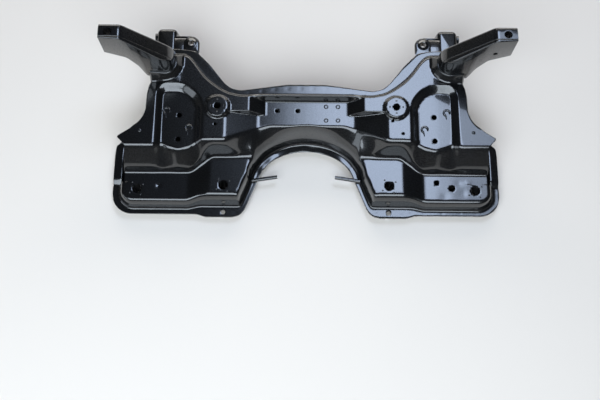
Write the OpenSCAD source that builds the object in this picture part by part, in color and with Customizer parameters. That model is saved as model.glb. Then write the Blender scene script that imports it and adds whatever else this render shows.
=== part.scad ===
// Front-axle subframe: an upper and a lower pressed shell welded on their flanges,
// with horns, spacer sleeves, brackets and hanger rods.
// Millimetres; +X right, +Y forward, +Z up; the origin is the middle of the footprint.

/* [Sheet] */
// Thickness of the pressed sheet
sheet = 2.5; // [2:0.1:3.2]
// Gap left between two pieces that are welded together
seam = 0.1; // [0.05:0.05:0.25]

/* [Levels] */
// Top of the rear and arch flange
flange_z = 20; // [16:0.5:24]
// Top of the outer lobes
lobe_z = 48; // [44:0.5:54]
// Top of the pads beside the arch
pad_z = 62; // [57:0.5:70]
// Top of the flats round the bosses
top_z = 115; // [105:0.5:125]
// Drop from the flats to the outer strips
strip_drop = 4; // [2:0.5:8]
// Depth of the D shaped recesses
recess_depth = 13; // [8:0.5:22]
// Depth of the centre plate below the flats
plate_depth = 20; // [12:0.5:26]
// Height of the collars round the horn feet
collar_rise = 21; // [14:0.5:26]
// Drop from the flats to the front flange
front_drop = 3; // [2:0.5:6]

/* [Rear lobes] */
// Half of the width over the lobe flanges
lobe_half = 413; // [405:1:425]
// Rear flange edge of the lobes, behind the origin
rear_reach = 193; // [188:0.5:198]
// Rearward bulge of the flange beside the arch
rear_bulge = 6; // [3:0.5:8]
// Radius of the outer rear corners
corner_r = 43; // [36:1:50]
// Width of the rear flange
rear_flange = 14; // [12:0.5:17]
// Width of the side flange
side_flange = 17; // [14:0.5:20]
// Length of the side flange, from the rear edge to the arm mouth
mouth_ahead = 60; // [55:0.5:65]
// Inset of the bare lobe edge in the arm mouth
mouth_in = 29; // [25:0.5:33]
// Steepness of the perimeter wall, rise over run
wall_slope = 3.5; // [2.5:0.1:5]
// Front line of the pads
pad_front = -75; // [-80:0.5:-71]
// Depth of the outer lobes from the rear edge
lobe_depth = 85; // [80:0.5:90]

/* [Arch] */
// Half width of the arch
arch_half = 105; // [98:0.5:110]
// Rise of the arch above its widest line
arch_rise = 81; // [76:0.5:86]
// Widest line of the arch
arch_y = -130; // [-134:0.5:-126]
// Width of the flange at the crown of the arch
arch_flange = 18; // [15:0.5:20]
// Width of the flange at the flanks of the arch
flank_flange = 15; // [13:0.5:17]
// Half width of the arch where it meets the rear edge
arch_mouth = 132; // [128:0.5:136]

/* [Top] */
// Rear edge of the centre plate
plate_rear = -22; // [-26:0.5:-18]
// Front edge of the centre plate
plate_front = 33.5; // [30:0.5:36]
// Front edge of the bead ahead of the centre plate
bead_y = 39.5; // [37.5:0.5:43]
// Half length of the centre plate
plate_half = 87.5; // [82:0.5:94]
// Half length of the plate recess at its rim
plate_rim = 119.5; // [112:0.5:126]
// Crease between the plate's front and rear end walls
crease_y = 3; // [-2:0.5:8]
// Rear edge of the boss flats
flat_rear = -60; // [-64:0.5:-57]
// Rear edge of the outer strips
strip_rear = -71.5; // [-75:0.5:-68]
// Rearmost point of the D recess floor
recess_rear = -78.5; // [-82:0.5:-75]
// Inner rim of the D recess
recess_in = 217.5; // [212:0.5:222]
// Width of the outer strip beside the D recess
strip_w = 22.5; // [19:0.5:27]
// Front rim of the D recess
recess_front = 66.5; // [62:0.5:69]
// Radius of the inner front corner of the D recess
recess_r = 60; // [50:1:66]
// Run of the D recess walls
recess_run = 13; // [9:0.5:17]
// Inset of the outer strips from the lobe edge
strip_in = 73; // [68:0.5:76]
// Inset of the strips' rear tips from the lobe edge
tip_in = 19.5; // [16:0.5:24]
// Length of the curved rear tip of the strips
tip_len = 79.5; // [70:0.5:88]
// Depth of the turned-down side edge
skirt = 12; // [8:0.5:16]

/* [Collars] */
// Length of a collar across the frame
collar_len = 69; // [64:0.5:72]
// Rear foot of the collars
collar_y = 71.5; // [70:0.5:73]
// Front foot of the collars
collar_front = 131; // [129:0.5:134]
// Run of the collar walls
collar_run = 10.5; // [8:0.5:12]
// Radius of the collar's inner rear corner
collar_r = 40; // [32:1:46]
// Step of the side outline at the collars
collar_step = 9; // [6:0.5:12]

/* [Front edge] */
// Front flange edge at the middle
front_mid = 65.5; // [62:0.5:69]
// Front flange edge at its rearmost point
front_waist = 51; // [48.5:0.5:54]
// Front flange edge ahead of the horns
front_corner = 146; // [143:0.5:149]

/* [Bosses] */
// Distance of a steering boss from the middle plane
boss_x = 186.5; // [184:0.5:189]
// Boss position along the frame
boss_y = 12.5; // [9:0.5:16]
// Radius of the boss disc
boss_r = 19.5; // [18:0.5:24]
// Run of the boss skirt
boss_run = 6; // [4:0.5:8]
// Height of the boss
boss_h = 7; // [4:0.5:9]
// Bore of the rack sleeve
rack_bore = 14; // [10:0.5:18]
// Outer diameter of the rack sleeve
rack_od = 30; // [24:0.5:36]

/* [Rear bolts] */
// Outer bolt, inset from the lobe edge
outer_in = 56; // [51:0.5:62]
// Outer bolt, distance ahead of the rear edge
outer_ahead = 47; // [44:0.5:50]
// Inner bolt, distance from the middle plane
inner_x = 174; // [169:0.5:180]
// Inner bolt, distance ahead of the rear edge
inner_ahead = 51.5; // [50:0.5:56]
// Bore of the rear bolt sleeves
bolt_bore = 20; // [16:0.5:23]
// Outer diameter of the rear bolt sleeves
bolt_od = 28; // [25:0.5:29]
// Diameter of the flange holes
flange_hole = 10; // [7:0.5:12]
// Flange hole, distance from the middle plane
flange_hole_x = 176; // [166:0.5:186]

/* [Horns] */
// Height of the horn tips above the ground
horn_z = 274; // [260:1:290]
// Inset of the horn's outer end from the lobe edge
horn_in = 6; // [2:0.5:12]
// Length of the flat tip
horn_flat = 42; // [36:0.5:48]
// Run of the rounded shoulder above the foot
horn_shoulder = 9; // [5:0.5:14]
// Height of the sloping top's lower end above the collar
horn_root_rise = 50; // [40:1:60]
// Gap between the collar's rim and the horn foot
horn_gap = 1.5; // [1:0.5:3]
// Thickness of the horn along the frame
horn_t = 34; // [30:0.5:36]
// Depth of the horn section at its tip
horn_h = 63; // [56:0.5:70]
// Further depth of the horn section at the inner end of the flat tip
horn_haunch = 19; // [14:0.5:24]
// Rounding of the foot's inner rear corner
horn_round = 24; // [16:0.5:28]
// Width of the rear half that shows on top
horn_lap = 7; // [5:0.5:8]
// Body bolt, distance from the horn's outer end
horn_bolt_in = 19; // [16:0.5:23]
// Body bolt bore in the horn tip
horn_bore = 16; // [12:0.5:18]
// Outer diameter of the horn sleeve
horn_sleeve_od = 24; // [20:0.5:26]
// Hole in the rear wall of the right horn
vent_hole = 9; // [6:0.5:11]

/* [Front brackets] */
// Front end of the ear bracket
ear_front = 199; // [192:0.5:205]
// Middle of the ear, inset from the collar's outer side
ear_in = 26; // [23:0.5:29]
// Width of the ear
ear_w = 36; // [32:0.5:40]
// Depth of the ear's side walls
ear_h = 38; // [30:0.5:44]
// Rounding of the ear's long edges
ear_round = 6; // [4:0.5:8]
// Distance of the lug hole from the middle of the ear
lug_off = 56; // [52:0.5:60]
// Distance of the lug hole behind the ear's front end
lug_back = 36; // [33:0.5:40]
// Width of the lug plate
lug_w = 36; // [32:0.5:40]
// Bore of the lug
lug_bore = 12; // [9:0.5:16]
// Height of the strap between lug and ear
strap_h = 12; // [8:0.5:16]
// Diameter of the nut on the ear
ear_nut_d = 20; // [16:0.5:24]
// Height of the nut on the ear
ear_nut_h = 5; // [3:0.5:6]
// Thread bore of the nut on the ear
ear_nut_bore = 10; // [7:0.5:12]

/* [Small pieces] */
// Diameter of the exhaust hanger rods
rod_d = 8; // [6:0.5:10]
// Inner end of the hanger rods
rod_in = 62; // [55:0.5:75]
// Outer end of the hanger rods, on the arch flange
rod_out = 116; // [113:0.5:116.5]
// Position of a rod's outer end along the frame
rod_y = -119; // [-123:0.5:-116]
// Forward lean of the hanger rods
rod_lean = 9; // [5:0.5:14]
// Holes of the centre plate
plate_hole = 9; // [7:0.5:11]
// Width across the corners of the plate nuts
plate_nut = 18; // [15:0.5:20]
// Height of the plate nuts
plate_nut_h = 8; // [6:0.5:10]
// Length of the inner braces
brace_len = 74; // [60:1:80]
// Width of the brace flanges
brace_w = 20; // [14:0.5:22]
// Drain and jig holes
jig_hole = 11; // [8:0.5:13]
// Small drain holes beside the bosses
drain_hole = 6.5; // [4:0.5:8]
// Access hole in the right lobe
access_hole = 14; // [10:0.5:16]

/* [Hidden] */
$fn = 48;
mouth_y = mouth_ahead - rear_reach;
mouth_x = lobe_half - mouth_in;
lobe_front = lobe_depth - rear_reach;
strip_half = lobe_half - strip_in;
tip_half = lobe_half - tip_in;
recess_out = strip_half - strip_w;
collar_side = strip_half - collar_step;
collar_x = collar_side - collar_len;
outer_x = lobe_half - outer_in;
outer_y = outer_ahead - rear_reach;
inner_y = inner_ahead - rear_reach;
horn_tip = lobe_half - horn_in;
horn_bend = horn_tip - horn_flat;
horn_foot = collar_x + collar_run + horn_gap;
horn_root = horn_foot + horn_shoulder;
horn_rear = collar_y + collar_run + horn_gap / 1.5;
horn_bolt_x = horn_tip - horn_bolt_in;
ear_x = collar_side - ear_in;
lug_x = ear_x - lug_off;
lug_y = ear_front - lug_back;

coat = [0.06, 0.065, 0.075];
bare = [0.16, 0.17, 0.18];
cut = 1;

strip_z = top_z - strip_drop;
front_z = top_z - front_drop;
collar_z = top_z + collar_rise;
tray_z = sheet;
lower_flange_z = flange_z - sheet - seam;
lower_front_z = front_z - sheet - seam;
bracket_z = lower_front_z - sheet - seam;

// Values limited to 0 and 1, ramps and blends
function unit(v) = max(0, min(1, v));
function ramp(a, b, v) = unit((v - a) / (b - a));
function mix(a, b, k) = a + (b - a) * k;

// Plan curves, for x from the middle plane outwards
flare_k = 0.98;
bulge_in = 156;
bulge_out = 214;
bulge_end = 232;
bulge_round = 10;
function ellipse_y(x, a, b) = arch_y + b * sqrt(max(0, 1 - pow(x / a, 2)));
function corner_y(x, cx, cy, r) = cy - sqrt(max(0, r * r - pow(max(0, x - cx), 2)));
corner_x = lobe_half - corner_r;
corner_cy = corner_r - rear_reach;
rear_end = -rear_reach - rear_bulge;
function edge_y(x) =
    x < flare_k * arch_half ? ellipse_y(x, arch_half, arch_rise) :
    x < bulge_in ? lookup(x, [
        [flare_k * arch_half, ellipse_y(flare_k * arch_half, arch_half, arch_rise)],
        [arch_mouth, rear_end + 1.3 * bulge_round],
        [arch_mouth + bulge_round, rear_end + 0.4 * bulge_round],
        [bulge_in, rear_end]]) :
    x < corner_x ? mix(rear_end, -rear_reach, ramp(bulge_out, bulge_end, x)) :
    corner_y(x, corner_x, corner_cy, corner_r);

bend_a = arch_half + flank_flange;
bend_b = arch_rise + arch_flange;
bend_k = 0.995;
bend_side = lobe_half - side_flange;
bend_r = corner_r - rear_flange + 2;
bend_cx = bend_side - bend_r;
rear_bend = rear_flange - rear_reach;
pad_bend = rear_bend + rear_bulge;
pad_bend_x = arch_mouth + 8;
bend_step_in = 226;
bend_step_out = 250;
function bend_y(x) =
    x < bend_k * bend_a ? ellipse_y(x, bend_a, bend_b) :
    x < pad_bend_x ? mix(ellipse_y(bend_k * bend_a, bend_a, bend_b), pad_bend,
        ramp(bend_k * bend_a, pad_bend_x, x)) :
    x < bend_cx ? mix(pad_bend, rear_bend, ramp(bend_step_in, bend_step_out, x)) :
    corner_y(min(x, bend_side), bend_cx, rear_bend + bend_r, bend_r);
function bend_cos(x) = 1 / sqrt(1 + pow((bend_y(x + 1) - bend_y(x - 1)) / 2, 2));

level_in = 205;
level_out = 247;
function level(x) = mix(pad_z, lobe_z, ramp(level_in, level_out, x));
function wall_run(x) = (level(x) - flange_z) / wall_slope;

ramp_edge_x = 108;
flat_edge_x = 170;
step_mid = (recess_in + recess_out) / 2;
function step_y(x) = lookup(x, [
    [0, plate_rear], [plate_half - 8, plate_rear], [ramp_edge_x, plate_rear - 8],
    [flat_edge_x, flat_rear], [recess_in, flat_rear],
    [recess_in + recess_run, mix(flat_rear, recess_rear, 0.2)],
    [step_mid - 24, mix(flat_rear, recess_rear, 0.66)], [step_mid, recess_rear],
    [step_mid + 24, mix(strip_rear + 7, recess_rear, 0.5)],
    [recess_out - recess_run, strip_rear + 7], [recess_out, strip_rear], [lobe_half, strip_rear]]);
function plateau_y(x) = lookup(x, [
    [0, pad_front], [level_in - 5, pad_front], [level_in + 8, mix(pad_front, lobe_front, 0.3)],
    [level_out - 11, mix(pad_front, lobe_front, 0.88)], [level_out, lobe_front],
    [lobe_half, lobe_front]]);
front_k = 0.3;
function front_line_y(x) = max(plateau_y(x), mix(bend_y(x), step_y(x), front_k));

waist_x = 140;
function diagonal_x(k) = mix(waist_x, collar_x, k);
function front_bend_y(x) = lookup(x, [
    [0, bead_y], [100, bead_y], [120, bead_y - 2], [waist_x, bead_y - 2],
    [diagonal_x(0.205), mix(bead_y - 2, collar_front, 0.059)],
    [diagonal_x(0.369), mix(bead_y - 2, collar_front, 0.176)],
    [diagonal_x(0.549), mix(bead_y - 2, collar_front, 0.358)],
    [diagonal_x(0.672), mix(bead_y - 2, collar_front, 0.529)],
    [diagonal_x(0.861), mix(bead_y - 2, collar_front, 0.893)],
    [diagonal_x(0.959), collar_front], [lobe_half, collar_front]]);
function front_edge_y(x) = lookup(x, [
    [0, front_mid], [40, front_mid], [waist_x, front_waist],
    [diagonal_x(0.156), mix(front_waist, front_corner, 0.047)],
    [diagonal_x(0.279), mix(front_waist, front_corner, 0.174)],
    [diagonal_x(0.533), mix(front_waist, front_corner, 0.605)],
    [diagonal_x(0.787), mix(front_waist, front_corner, 0.947)],
    [collar_x + collar_run, front_corner], [lobe_half, front_corner]]);
function tip_y(k) = strip_rear + tip_len * k;
function tip_x(k) = mix(strip_half, tip_half, k);
function side_x(y) = lookup(y, [
    [strip_rear, mouth_x - 8], [tip_y(0.233), tip_half], [tip_y(0.434), tip_x(0.533)],
    [tip_y(0.635), tip_x(0.234)], [tip_y(0.811), tip_x(0.084)], [tip_y(1), strip_half],
    [collar_y - 3 * collar_step, strip_half - 1], [collar_y - collar_step, strip_half - 4],
    [collar_y + 1.5, collar_side], [front_corner, collar_side]]);

// Height of the upper shell's top face
ramp_in = 98;
ramp_out = 160;
recess_r2 = 25;
front_step = 4;
function inside_corner(dx, dy, r) = dx > 0 && dy > 0 ? r - norm([dx, dy]) : r - max(dx, dy);
function recess_d(x, y) = min(
    inside_corner(recess_in + recess_r - x, y - recess_front + recess_r, recess_r),
    inside_corner(x - recess_out + recess_r2, y - recess_front + recess_r2, recess_r2));
function collar_d(x, y) = min(
    inside_corner(collar_x + collar_r - x, collar_y + collar_r - y, collar_r), collar_front - y);
function plate_k(x, y) = mix(
    ramp(ramp_out, ramp_in, x),
    ramp(plate_rim, plate_half, x) * ramp(bead_y, plate_front, y),
    ramp(crease_y - 3, crease_y + 3, y));
function top_h(x, y) = top_z - strip_drop * ramp(recess_out - 15, recess_out, x)
    - (recess_depth - strip_drop * ramp(recess_out - 15, recess_out, x))
        * ramp(0, recess_run, recess_d(x, y)) * (1 - ramp(0, 4, collar_d(x, y)))
    - plate_depth * plate_k(x, y)
    + (collar_rise + strip_drop * ramp(recess_out - 15, recess_out, x))
        * ramp(0, collar_run, collar_d(x, y));
function lobe_h(x, y) = let(
    rear_d = (y - bend_y(x)) * bend_cos(x),
    d = y < mouth_y + 1 ? min(rear_d, bend_side - x) : rear_d)
    flange_z + max(0, min(level(x) - flange_z, d * wall_slope));
function upper_h(x, y) = let(
    yf = front_line_y(x),
    ys = step_y(x),
    yb = front_bend_y(x))
    y <= yf ? lobe_h(x, y) :
    y < ys ? mix(lobe_h(x, yf), top_h(x, ys), (y - yf) / (ys - yf)) :
    y <= yb ? top_h(x, y) :
    mix(top_h(x, yb), front_z, ramp(yb, yb + front_step, y));

// Columns from the middle plane outwards; past stretch_x they follow the side outline
stretch_x = collar_side - 31;
columns = [0, 30, 56, 76, 88, 98, 104, 110, 116, 121, 126, 131, 136, 141, 150, 160, 171, 182, 193,
    205, 217, 230, 240, 249, 258, 266, 273, 281, 291, 300, 312, 324, 338, 354, 368, 377, 384, 389,
    393, 397, 402, 407, 411, 413];
function outline(xb, half) = xb <= stretch_x ? xb :
    stretch_x + (xb - stretch_x) * (half - stretch_x) / (columns[len(columns) - 1] - stretch_x);

// Share of the way from the step edge to the front bend, row by row
top_rows = [0, 0.045, 0.091, 0.13, 0.17, 0.21, 0.25, 0.3, 0.36, 0.42, 0.48, 0.54, 0.6, 0.65, 0.7,
    0.75, 0.8, 0.86, 0.93, 1];
lobe_rows = 7;
function side_row(k) = side_x(mix(strip_rear, collar_front, k));
function lobe_row_y(x, j) = let(
    y0 = edge_y(x),
    y1 = max(bend_y(x), y0 + 1),
    yf = front_line_y(x),
    y2 = min(max(y1 + wall_run(x) / bend_cos(min(x, bend_cx)), y1 + 1), mix(y1, yf, 0.9)),
    ym = x > level_out ? mouth_y : mix(y2, yf, 0.6))
    [y0, y1, min(y2, ym - 4), (min(y2, ym - 4) + ym) / 2, ym, mix(ym, yf, 0.12), yf][j];
function upper_point(xb, j) =
    j < lobe_rows ? let(
        x = outline(xb, j < 5 ? lobe_half : mouth_x),
        y = lobe_row_y(x, j))
        [x, y, upper_h(x, y)] :
    j < lobe_rows + len(top_rows) ? let(
        k = top_rows[j - lobe_rows],
        x = outline(xb, side_row(k)),
        y = mix(step_y(x), front_bend_y(x), k))
        [x, y, is_skirt(xb, y) ? strip_z - skirt : upper_h(x, y)] :
    let(x = outline(xb, collar_side),
        y = j == lobe_rows + len(top_rows) ? front_bend_y(x) + front_step : front_edge_y(x))
        [x, y, is_skirt(xb, y) ? strip_z - skirt : upper_h(x, y)];
function is_skirt(xb, y) = xb == columns[len(columns) - 1] && y > tip_y(0.97);

// Height of the lower shell's top face
tray_run = 8;
lip_run = 10;
lower_inset = 7;
lower_rows = [0, 0.12, 0.24, 0.36, 0.405, 0.46, 0.54, 0.62, 0.7, 0.78, 0.86, 0.93, 1];
foot_in = 8;
wall_top = 4.5;
function lower_side_x(y) = lookup(y, [
    [tip_y(0.384), lobe_half - 2], [tip_y(0.522), lobe_half - side_flange],
    [tip_y(0.774), strip_half + 8], [tip_y(0.95), strip_half - lower_inset],
    [collar_y - collar_step, strip_half - lower_inset - 4],
    [collar_y + 1.5, collar_side - lower_inset], [front_corner, collar_side - lower_inset]]);
function lower_side_z(y) = mix(lower_flange_z, strip_z - sheet - 1, ramp(tip_y(0.459), tip_y(0.962), y));
function lip_k(xb) = ramp(mouth_x, mouth_x + lip_run, outline(xb, lobe_half));
function lower_point(xb, j) =
    j < 2 ? let(x = outline(xb, lobe_half), y = lobe_row_y(x, j)) [x, y, lower_flange_z] :
    j < 2 + len(lower_rows) ? let(
        k = lower_rows[j - 2],
        x0 = outline(xb, lobe_half),
        yt = lobe_row_y(x0, 1) + tray_run / bend_cos(min(x0, bend_cx)),
        ya = x0 > bend_cx ? min(yt, corner_cy + 6) : yt,
        x = outline(xb, lower_side_x(mix(ya, collar_front - foot_in, k))),
        y = mix(ya, front_bend_y(x) - foot_in, k))
        [x, y, mix(tray_z, lower_side_z(y), lip_k(xb))] :
    let(x = outline(xb, collar_side - lower_inset),
        y = j == 2 + len(lower_rows) ? front_bend_y(x) + wall_top : front_edge_y(x))
        [x, y, lower_front_z];

// A sheet of even thickness below a grid of points, mirrored about the middle plane
function mirror_x(p) = [-p[0], p[1], p[2]];
function full_grid(half) = let(n = len(half))
    [for (i = [-(n - 1) : n - 1]) i < 0 ? [for (p = half[-i]) mirror_x(p)] : half[i]];
function span(a, b) = b - a;
function normal(g, i, j) = let(
    along = span(g[max(i - 1, 0)][j], g[min(i + 1, len(g) - 1)][j]),
    across = span(g[i][max(j - 1, 0)], g[i][min(j + 1, len(g[0]) - 1)]),
    n = cross(along, across))
    n / norm(n);
module sheet_grid(g, t) {
    nc = len(g);
    nr = len(g[0]);
    top = [for (i = [0 : nc - 1]) for (j = [0 : nr - 1]) g[i][j]];
    under = [for (i = [0 : nc - 1]) for (j = [0 : nr - 1]) g[i][j] - t * normal(g, i, j)];
    low = nc * nr;
    quads = [
        for (i = [0 : nc - 2]) for (j = [0 : nr - 2])
            [i * nr + j, i * nr + j + 1, (i + 1) * nr + j + 1, (i + 1) * nr + j],
        for (i = [0 : nc - 2]) for (j = [0 : nr - 2])
            [low + i * nr + j, low + (i + 1) * nr + j, low + (i + 1) * nr + j + 1,
                low + i * nr + j + 1],
        for (i = [0 : nc - 2]) [i * nr, (i + 1) * nr, low + (i + 1) * nr, low + i * nr],
        for (i = [0 : nc - 2]) [(i + 1) * nr + nr - 1, i * nr + nr - 1,
            low + i * nr + nr - 1, low + (i + 1) * nr + nr - 1],
        for (j = [0 : nr - 2]) [j + 1, j, low + j, low + j + 1],
        for (j = [0 : nr - 2]) [(nc - 1) * nr + j, (nc - 1) * nr + j + 1,
            low + (nc - 1) * nr + j + 1, low + (nc - 1) * nr + j]];
    tris = [for (q = quads) for (t = [[q[0], q[1], q[2]], [q[0], q[2], q[3]]]) t];
    polyhedron(concat(top, under), tris);
}

// Drills a round hole through the shells at a place
module drill(x, y, d, z0, z1) {
    translate([x, y, z0 - cut]) cylinder(d = d, h = z1 - z0 + 2 * cut);
}
module both_sides() {
    children();
    mirror([1, 0, 0]) children();
}
module on_side(s) {
    if (s < 0) mirror([1, 0, 0]) children();
    else children();
}
module tube(od, id, h) {
    difference() {
        cylinder(d = od, h = h);
        translate([0, 0, -cut]) cylinder(d = id, h = h + 2 * cut);
    }
}

recess_z = top_z - recess_depth;
plate_z = top_z - plate_depth;
recess_hole_x = step_mid;
recess_hole_front = -2;
recess_hole_rear = -55.5;
plate_hole_y = 13;
plate_hole_xs = [-63, -20];
// Drain spots beside the bosses, and two openings of the right lobe
drain_spots = [[boss_x - 7.5, boss_y - 28.5], [boss_x + 13.5, flat_rear + 16],
    [-boss_x - 3.5, boss_y - 38.5]];
access_x = outer_x - 49;
access_y = outer_y + 5;
locator_x = outer_x - 81;
locator_y = outer_y + 17;
module upper_shell() {
    columns_n = len(columns) - 1;
    rows_n = lobe_rows + len(top_rows) + 1;
    half = [for (i = [0 : columns_n]) [for (j = [0 : rows_n]) upper_point(columns[i], j)]];
    color(coat) difference() {
        union() {
            sheet_grid(full_grid(half), sheet);
            both_sides() translate([boss_x, boss_y, top_z - sheet])
                cylinder(r1 = boss_r + boss_run, r2 = boss_r, h = boss_h + sheet);
        }
        both_sides() {
            translate([boss_x, boss_y, top_z - 2 * sheet])
                cylinder(r1 = boss_r + boss_run, r2 = boss_r - sheet / 2, h = boss_h + sheet);
            drill(boss_x, boss_y, rack_bore, top_z, top_z + boss_h);
            drill(outer_x, outer_y, bolt_bore, lobe_z - 2 * sheet, lobe_z);
            drill(inner_x, inner_y, bolt_bore, pad_z - 2 * sheet, pad_z);
            drill(flange_hole_x, edge_y(flange_hole_x) + rear_flange * 0.75, flange_hole,
                flange_z - 2 * sheet, flange_z);
            drill(recess_hole_x, recess_hole_front, jig_hole, recess_z - 2 * sheet, recess_z);
            drill(recess_hole_x, recess_hole_rear, jig_hole, recess_z - 2 * sheet, recess_z);
        }
        for (x = plate_hole_xs)
            drill(x, plate_hole_y, plate_hole, plate_z - 2 * sheet, plate_z);
        for (p = drain_spots)
            drill(p[0], p[1], drain_hole, top_z - 2 * sheet, top_z);
        drill(access_x, access_y, access_hole, lobe_z - 2 * sheet, lobe_z);
        drill(locator_x, locator_y, jig_hole, lobe_z - 2 * sheet, lobe_z);
    }
}

module lower_shell() {
    columns_n = len(columns) - 1;
    rows_n = 2 + len(lower_rows) + 1;
    half = [for (i = [0 : columns_n]) [for (j = [0 : rows_n]) lower_point(columns[i], j)]];
    color(coat) difference() {
        sheet_grid(full_grid(half), sheet);
        both_sides() {
            drill(boss_x, boss_y, rack_bore, 0, tray_z);
            drill(outer_x, outer_y, bolt_bore, 0, tray_z);
            drill(inner_x, inner_y, bolt_bore, 0, tray_z);
            drill(flange_hole_x, edge_y(flange_hole_x) + rear_flange * 0.75, flange_hole, 0, flange_z);
        }
    }
}

// Horn outline seen from behind, its foot on the collar and its lap over the collar's side
foot_z = collar_z + seam;
lap_x = collar_side + sheet / 4 + seam;
lap_z = strip_z + 2;
module horn_outline() {
    polygon([[horn_foot, foot_z], [horn_foot, foot_z + horn_root_rise * 0.55],
        [horn_root, foot_z + horn_root_rise], [horn_bend, horn_z], [horn_tip, horn_z],
        [horn_tip, horn_z - horn_h], [horn_bend, horn_z - horn_h - horn_haunch], [lap_x + 14, foot_z + 20],
        [lap_x + 2 * sheet, lap_z], [lap_x, lap_z], [lap_x, foot_z]]);
}
module horn_plan(inset) {
    r = horn_round - inset;
    cx = horn_foot + horn_round;
    cy = horn_rear + horn_round;
    translate([cx, horn_rear + inset]) square([horn_tip - cx + cut, horn_t - 2 * inset]);
    translate([horn_foot + inset, cy]) square([horn_round, horn_t - horn_round - inset]);
    translate([cx, cy]) circle(r = r);
}
module horn_block(inset) {
    intersection() {
        translate([0, horn_rear + horn_t - inset, 0]) rotate([90, 0, 0])
            linear_extrude(horn_t - 2 * inset) offset(delta = -inset) horn_outline();
        linear_extrude(horn_z) horn_plan(inset);
    }
}
module horn_box() {
    difference() {
        horn_block(0);
        horn_block(sheet);
        translate([horn_foot + horn_round, horn_rear + sheet, foot_z - cut])
            cube([collar_side - horn_foot - horn_round - sheet, horn_t - 2 * sheet, 2 * sheet + cut]);
        drill(horn_bolt_x, horn_rear + horn_t / 2, horn_bore, horn_z - horn_h - 30, horn_z);
    }
}
module horn_half(s, y0, y1) {
    color(coat) on_side(s) intersection() {
        horn_box();
        translate([0, y0, 0]) cube([lobe_half, y1 - y0, horn_z + cut]);
    }
}
horn_seam = horn_rear + horn_lap;
horn_front_y = horn_rear + horn_t;
vent_x = horn_bolt_x - horn_sleeve_od / 2 - 3;
vent_z = horn_z - 50.5;
module horn_rear_half(s) {
    color(coat) difference() {
        horn_half(s, horn_rear - cut, horn_seam);
        if (s > 0) translate([vent_x, horn_rear - cut, vent_z]) rotate([-90, 0, 0])
            cylinder(d = vent_hole, h = sheet + 2 * cut);
    }
}
module horn_front_half(s) {
    horn_half(s, horn_seam + seam, horn_front_y + cut);
}

// Spacer tube between the two faces of the horn tip
horn_low = horn_h + horn_haunch * (horn_tip - horn_bolt_x + horn_sleeve_od / 2) / (horn_tip - horn_bend);
module horn_sleeve(s) {
    inner_low = horn_z - horn_low + 1.1 * sheet + horn_haunch * horn_sleeve_od / (horn_tip - horn_bend);
    color(bare) on_side(s) translate([horn_bolt_x, horn_rear + horn_t / 2, inner_low + seam])
        tube(horn_sleeve_od, horn_bore, horn_z - sheet - inner_low - 2 * seam);
}

// Hood shaped ear: a rounded channel, open below and at its rear end
ear_rear = collar_front + wall_top + sheet + 1;
module ear_profile(inset) {
    r = ear_round - inset;
    w = ear_w / 2;
    translate([-w + ear_round, -ear_h - cut]) square([ear_w - 2 * ear_round, ear_h + cut - inset]);
    translate([-w + inset, -ear_h - cut]) square([ear_w - 2 * inset, ear_h + cut - ear_round]);
    for (x = [-1, 1]) translate([x * (w - ear_round), -ear_round]) circle(r = r);
}
module ear_block(inset, y0, y1) {
    translate([ear_x, y1, bracket_z]) rotate([90, 0, 0]) linear_extrude(y1 - y0) ear_profile(inset);
}
module front_bracket(s) {
    color(coat) on_side(s) difference() {
        ear_block(0, ear_rear, ear_front);
        ear_block(sheet, ear_rear - cut, ear_front - sheet);
        translate([0, 0, bracket_z - ear_h - 2 * cut]) cube([lobe_half, ear_front + cut, 2 * cut]);
        translate([ear_x, ear_nut_y, ear_nut_z]) rotate([0, 90, 0]) cylinder(d = ear_nut_bore, h = ear_w);
    }
}
ear_nut_y = ear_front - ear_nut_d / 2 - 6;
ear_nut_z = bracket_z - ear_nut_d / 2 - ear_round;
module bracket_nut(s) {
    color(bare) on_side(s) translate([ear_x + ear_w / 2 + seam, ear_nut_y, ear_nut_z])
        rotate([0, 90, 0]) tube(ear_nut_d, ear_nut_bore, ear_nut_h);
}

// Lug plate under the front flange, with a raised rim round its hole and a strap to the ear
strap_t = 3;
lug_rim = 5;
module lug(s) {
    strap_y = lug_y + lug_w / 2 - strap_t;
    color(coat) on_side(s) difference() {
        union() {
            translate([lug_x, lug_y, bracket_z - sheet]) cylinder(d = lug_w, h = sheet);
            translate([lug_x - lug_w / 2, corner_lug, bracket_z - sheet])
                cube([lug_w, lug_y - corner_lug, sheet]);
            translate([lug_x, lug_y, bracket_z - sheet])
                cylinder(d1 = lug_bore + 4 * lug_rim, d2 = lug_bore + lug_rim, h = sheet + lug_rim);
            translate([lug_x, strap_y, bracket_z - strap_h])
                cube([ear_x - ear_w / 2 - lug_x - seam, strap_t, strap_h]);
        }
        drill(lug_x, lug_y, lug_bore, bracket_z - strap_h, bracket_z + lug_rim);
    }
}
corner_lug = 138.5;

module rack_sleeve(s) {
    color(bare) on_side(s) translate([boss_x, boss_y, tray_z + seam])
        tube(rack_od, rack_bore, top_z + boss_h - sheet - tray_z - 2 * seam);
}
module bolt_sleeve(s, x, y, z) {
    color(bare) on_side(s) translate([x, y, tray_z + seam])
        tube(bolt_od, bolt_bore, z - sheet - tray_z - 2 * seam);
}

// Rod lying on the arch flange and pointing into the arch
module hanger(s) {
    color(coat) on_side(s) translate([rod_out, rod_y, flange_z + rod_d / 2 + seam])
        rotate([0, 0, 180 - rod_lean]) rotate([0, 90, 0])
            cylinder(d = rod_d, h = (rod_out - rod_in) / cos(rod_lean));
}

module plate_nuts() {
    color(bare) for (x = plate_hole_xs)
        translate([x, plate_hole_y, plate_z - sheet - seam - plate_nut_h]) difference() {
            cylinder(d = plate_nut, h = plate_nut_h, $fn = 6);
            translate([0, 0, -cut]) cylinder(d = plate_hole - 1, h = plate_nut_h + 2 * cut);
        }
}

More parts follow.
